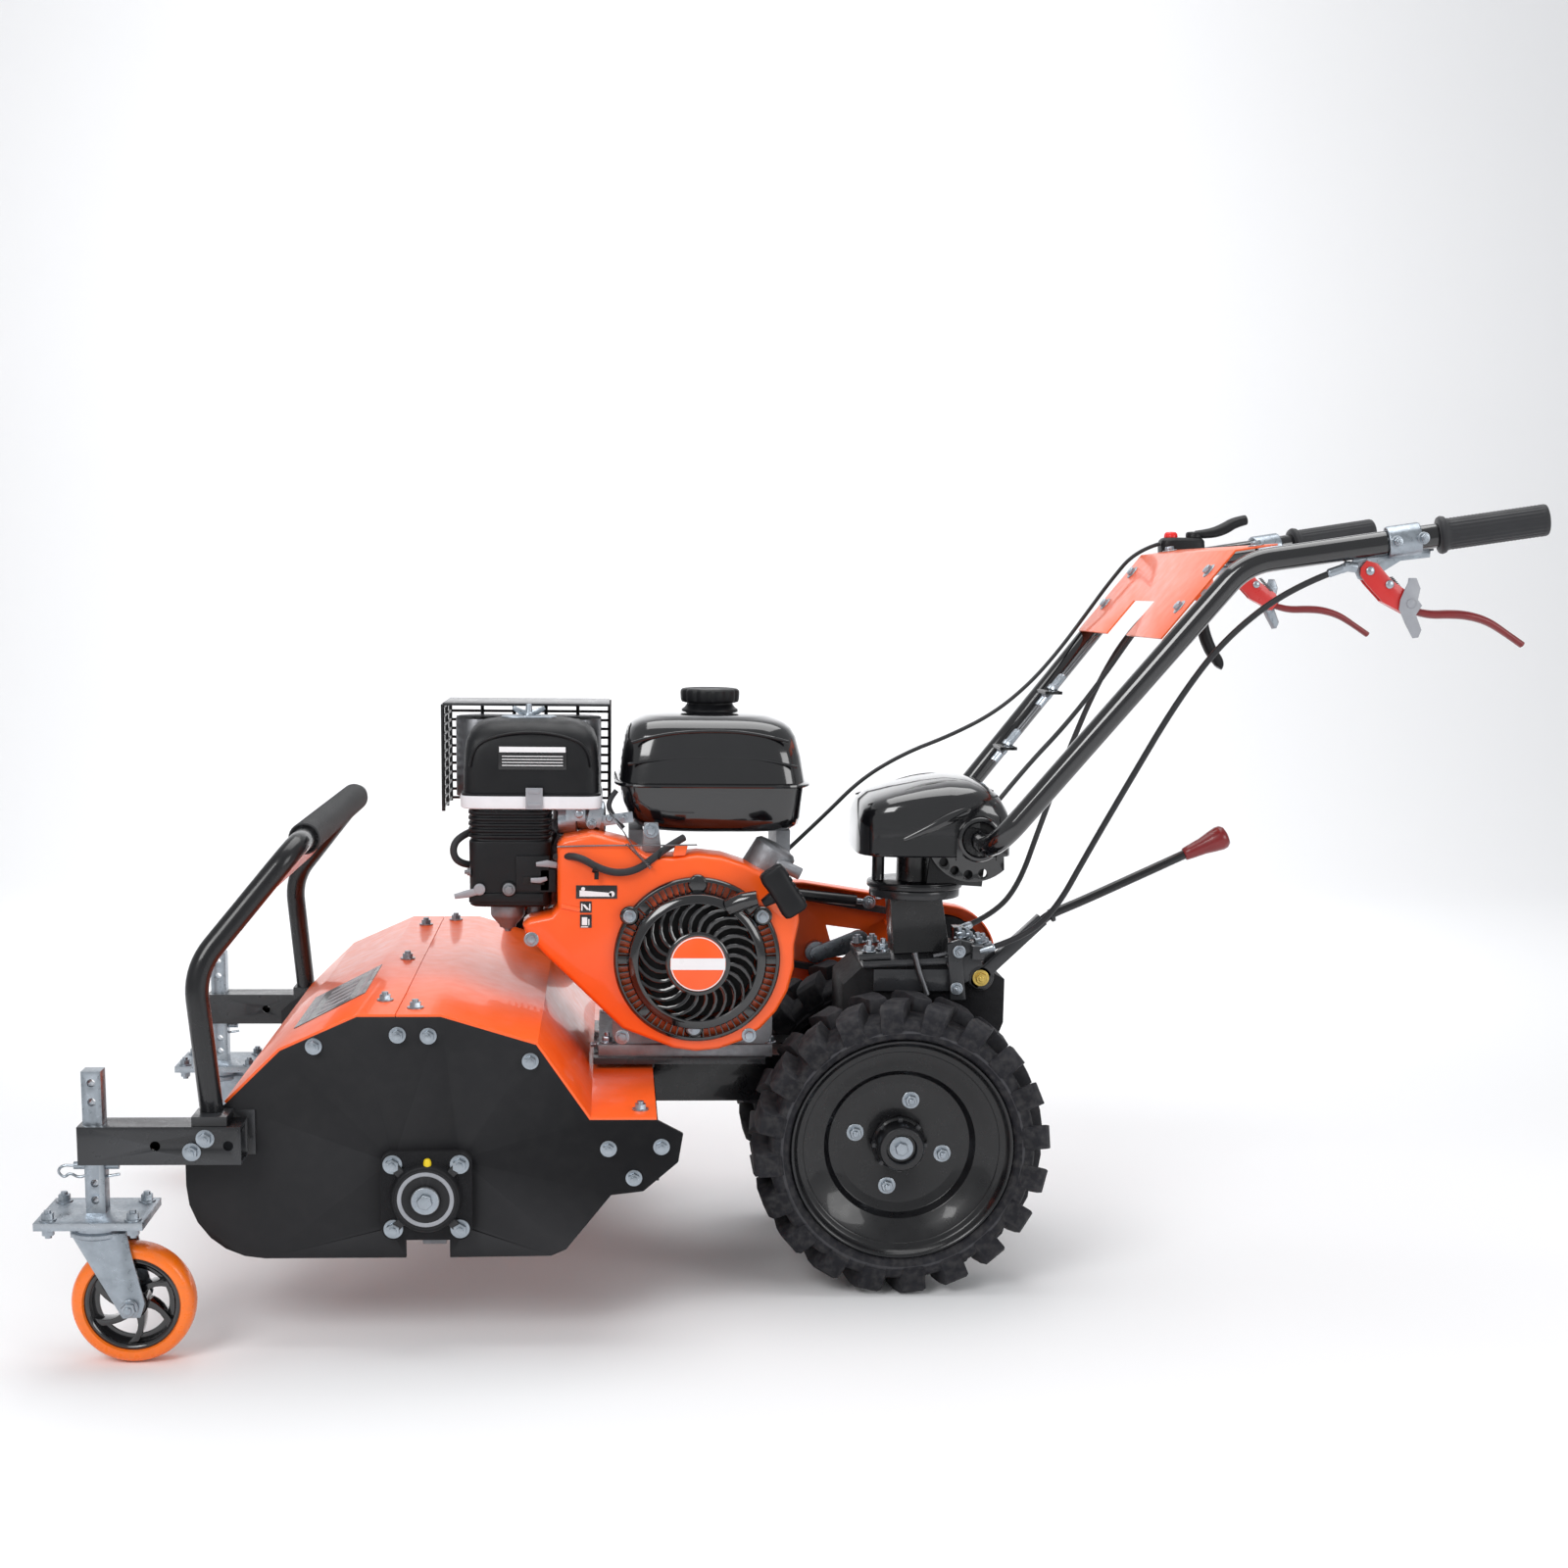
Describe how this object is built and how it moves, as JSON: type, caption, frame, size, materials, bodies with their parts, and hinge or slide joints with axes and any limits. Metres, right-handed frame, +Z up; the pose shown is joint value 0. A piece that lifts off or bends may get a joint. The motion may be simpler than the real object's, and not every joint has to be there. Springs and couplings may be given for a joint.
{
  "type": "walk-behind tractor with flail mower",
  "caption": "Walk-behind tractor with drive wheels, petrol engine, swivelling handlebar and a front flail mower deck on casters.",
  "frame": {"origin": "on the ground, at the centre of the bounding box in X and Y", "axes": "+X towards the operator (the machine drives towards -X), +Y towards the belt side, +Z up"},
  "size_m": [1.5823, 0.78, 0.9029],
  "materials": {
    "orange_paint": "gloss",
    "black_paint": "satin",
    "zinc": "satin",
    "cast_iron": "rough",
    "cast_aluminium": "satin",
    "tyre_rubber": "matte",
    "rim_paint": "gloss",
    "black_plastic": "matte",
    "gloss_black_plastic": "gloss",
    "red_plastic": "gloss",
    "grip_rubber": "matte",
    "belt_rubber": "matte",
    "steel": "satin",
    "tank_paint": "gloss",
    "caster_tread": "satin",
    "grey_plastic": "matte"
  },
  "bodies": {
    "root": {"side_plates": "black_paint", "deck_cover_front": "orange_paint", "deck_cover_rear": "orange_paint", "bearing_housings": "cast_iron", "drive_belts": "belt_rubber", "side_belt_guard": "orange_paint", "chassis_beam": "black_paint", "caster_arms": "black_paint", "guard_bar": "black_paint", "guard_plate": "orange_paint", "gearbox_housing": "cast_iron", "belt_cover": "orange_paint", "handle_column": "black_paint", "engine_block": "cast_aluminium", "cylinder_head": "cast_aluminium", "fan_shroud": "orange_paint", "recoil_cover": "gloss_black_plastic", "fuel_tank": "tank_paint", "air_cleaner_cover": "black_plastic", "air_cleaner_base": "grey_plastic", "intake_cover": "black_plastic", "carburettor": "cast_aluminium", "muffler": "steel", "muffler_guard": "black_paint", "control_cables": "black_plastic", "fasteners": "zinc"},
    "rotor": {"rotor_shaft": "steel", "flail_blades": "steel"},
    "counter": {"counter_shaft": "steel"},
    "crank": {"crankshaft": "steel"},
    "gear_input": {"input_pulley": "cast_iron"},
    "head": {"handle_turntable": "black_paint", "handle_cover": "gloss_black_plastic"},
    "bars": {"handlebar": "black_paint", "grips": "grip_rubber", "console": "orange_paint", "lever_brackets": "zinc", "throttle_housing": "black_plastic"},
    "throttle": {"throttle_lever": "black_plastic"},
    "stop": {"stop_button": "red_plastic"},
    "safety": {"hand_lever": "black_plastic"},
    "gear": {"gear_lever": "black_paint"},
    "tension": {"tension_arm": "zinc"},
    "cap": {"fuel_cap": "gloss_black_plastic"},
    "pull": {"pull_handle": "black_plastic"},
    "choke": {"choke_lever": "black_plastic"},
    "wheel_left": {"tyre_left": "tyre_rubber", "rim_left": "rim_paint"},
    "stem_left": {"caster_stem_left": "zinc"},
    "fork_left": {"caster_fork_left": "zinc"},
    "caster_left": {"caster_wheel_left": "caster_tread"},
    "clutch_left": {"clutch_lever_left": "red_plastic"},
    "latch_left": {"lever_latch_left": "zinc"},
    "wheel_right": {"tyre_right": "tyre_rubber", "rim_right": "rim_paint"},
    "stem_right": {"caster_stem_right": "zinc"},
    "fork_right": {"caster_fork_right": "zinc"},
    "caster_right": {"caster_wheel_right": "caster_tread"},
    "clutch_right": {"clutch_lever_right": "red_plastic"},
    "latch_right": {"lever_latch_right": "zinc"}
  },
  "joints": [
    {"name": "rotor_spin", "type": "hinge", "parent": "root", "child": "rotor", "pos_m": [-0.397, 0, 0.172], "axis": [0, 1, 0], "continuous": true},
    {"name": "counter_spin", "type": "hinge", "parent": "root", "child": "counter", "pos_m": [-0.262, 0.283, 0.366], "axis": [0, 1, 0], "continuous": true},
    {"name": "crank_spin", "type": "hinge", "parent": "root", "child": "crank", "pos_m": [-0.107, 0, 0.393], "axis": [0, 1, 0], "continuous": true},
    {"name": "gear_input_spin", "type": "hinge", "parent": "root", "child": "gear_input", "pos_m": [0.228, 0.12, 0.338], "axis": [0, 1, 0], "continuous": true},
    {"name": "wheel_left_spin", "type": "hinge", "parent": "root", "child": "wheel_left", "pos_m": [0.13, -0.123, 0.173], "axis": [0, 1, 0], "continuous": true},
    {"name": "stem_left_height", "type": "slide", "parent": "root", "child": "stem_left", "axis": [0, 0, 1], "range_m": [-0.045, 0]},
    {"name": "fork_left_swivel", "type": "hinge", "parent": "stem_left", "child": "fork_left", "pos_m": [-0.735, -0.345, 0.15], "axis": [0, 0, 1], "continuous": true},
    {"name": "caster_left_spin", "type": "hinge", "parent": "fork_left", "child": "caster_left", "pos_m": [-0.701, -0.345, 0.064], "axis": [0, 1, 0], "continuous": true},
    {"name": "clutch_left_squeeze", "type": "hinge", "parent": "bars", "child": "clutch_left", "pos_m": [0.606, -0.23051, 0.83101], "axis": [0, -1, 0], "range_deg": [0, 25], "stiffness_Nm_per_rad": 2, "springref_deg": -20.05},
    {"name": "latch_left_flip", "type": "hinge", "parent": "clutch_left", "child": "latch_left", "pos_m": [0.652, -0.23051, 0.79701], "axis": [0, 1, 0], "range_deg": [-15, 15], "stiffness_Nm_per_rad": 0.05},
    {"name": "wheel_right_spin", "type": "hinge", "parent": "root", "child": "wheel_right", "pos_m": [0.13, 0.123, 0.173], "axis": [0, 1, 0], "continuous": true},
    {"name": "stem_right_height", "type": "slide", "parent": "root", "child": "stem_right", "axis": [0, 0, 1], "range_m": [-0.045, 0]},
    {"name": "fork_right_swivel", "type": "hinge", "parent": "stem_right", "child": "fork_right", "pos_m": [-0.735, 0.345, 0.15], "axis": [0, 0, 1], "continuous": true},
    {"name": "caster_right_spin", "type": "hinge", "parent": "fork_right", "child": "caster_right", "pos_m": [-0.701, 0.345, 0.064], "axis": [0, 1, 0], "continuous": true},
    {"name": "clutch_right_squeeze", "type": "hinge", "parent": "bars", "child": "clutch_right", "pos_m": [0.606, 0.23051, 0.83101], "axis": [0, -1, 0], "range_deg": [0, 25], "stiffness_Nm_per_rad": 2, "springref_deg": -20.05},
    {"name": "latch_right_flip", "type": "hinge", "parent": "clutch_right", "child": "latch_right", "pos_m": [0.652, 0.23051, 0.79701], "axis": [0, 1, 0], "range_deg": [-15, 15], "stiffness_Nm_per_rad": 0.05},
    {"name": "head_swivel", "type": "hinge", "parent": "root", "child": "head", "pos_m": [0.16, 0, 0.455], "axis": [0, 0, 1], "range_deg": [-30, 30], "deforming": ["control_cables"]},
    {"name": "bars_tilt", "type": "hinge", "parent": "head", "child": "bars", "pos_m": [0.222, 0, 0.522], "axis": [0, 1, 0], "range_deg": [-20, 20], "deforming": ["control_cables"]},
    {"name": "throttle_turn", "type": "hinge", "parent": "bars", "child": "throttle", "pos_m": [0.542, 0.21902, 0.88], "axis": [0, 0, 1], "range_deg": [0, 60]},
    {"name": "stop_press", "type": "slide", "parent": "bars", "child": "stop", "axis": [0, 0, -1], "range_m": [0, 0.004], "stiffness_N_per_m": 300, "springref_m": -0.002},
    {"name": "safety_squeeze", "type": "hinge", "parent": "bars", "child": "safety", "pos_m": [0.503, 0.036, 0.806], "axis": [0, 1, 0], "range_deg": [0, 20], "stiffness_Nm_per_rad": 1, "springref_deg": -17.19},
    {"name": "gear_shift", "type": "hinge", "parent": "root", "child": "gear", "pos_m": [0.231, -0.064, 0.356], "axis": [0, 1, 0], "range_deg": [-12, 12]},
    {"name": "tension_swing", "type": "hinge", "parent": "root", "child": "tension", "pos_m": [0.116, 0.1755, 0.357], "axis": [0, 1, 0], "range_deg": [0, 20]},
    {"name": "cap_turn", "type": "hinge", "parent": "root", "child": "cap", "pos_m": [-0.088, 0, 0.678], "axis": [0, 0, 1], "range_deg": [0, 90]},
    {"name": "pull_start", "type": "slide", "parent": "root", "child": "pull", "axis": [0.9023, -0.3509, 0.2506], "range_m": [0, 0.5], "stiffness_N_per_m": 20, "springref_m": -0.2},
    {"name": "choke_turn", "type": "hinge", "parent": "root", "child": "choke", "pos_m": [-0.352, -0.128, 0.468], "axis": [0, 1, 0], "range_deg": [0, 60]}
  ],
  "couplings": [
    {"joint": "counter_spin", "follows": "rotor_spin", "ratio": 1},
    {"joint": "crank_spin", "follows": "rotor_spin", "ratio": 0.65217},
    {"joint": "gear_input_spin", "follows": "rotor_spin", "ratio": 0.65217}
  ]
}
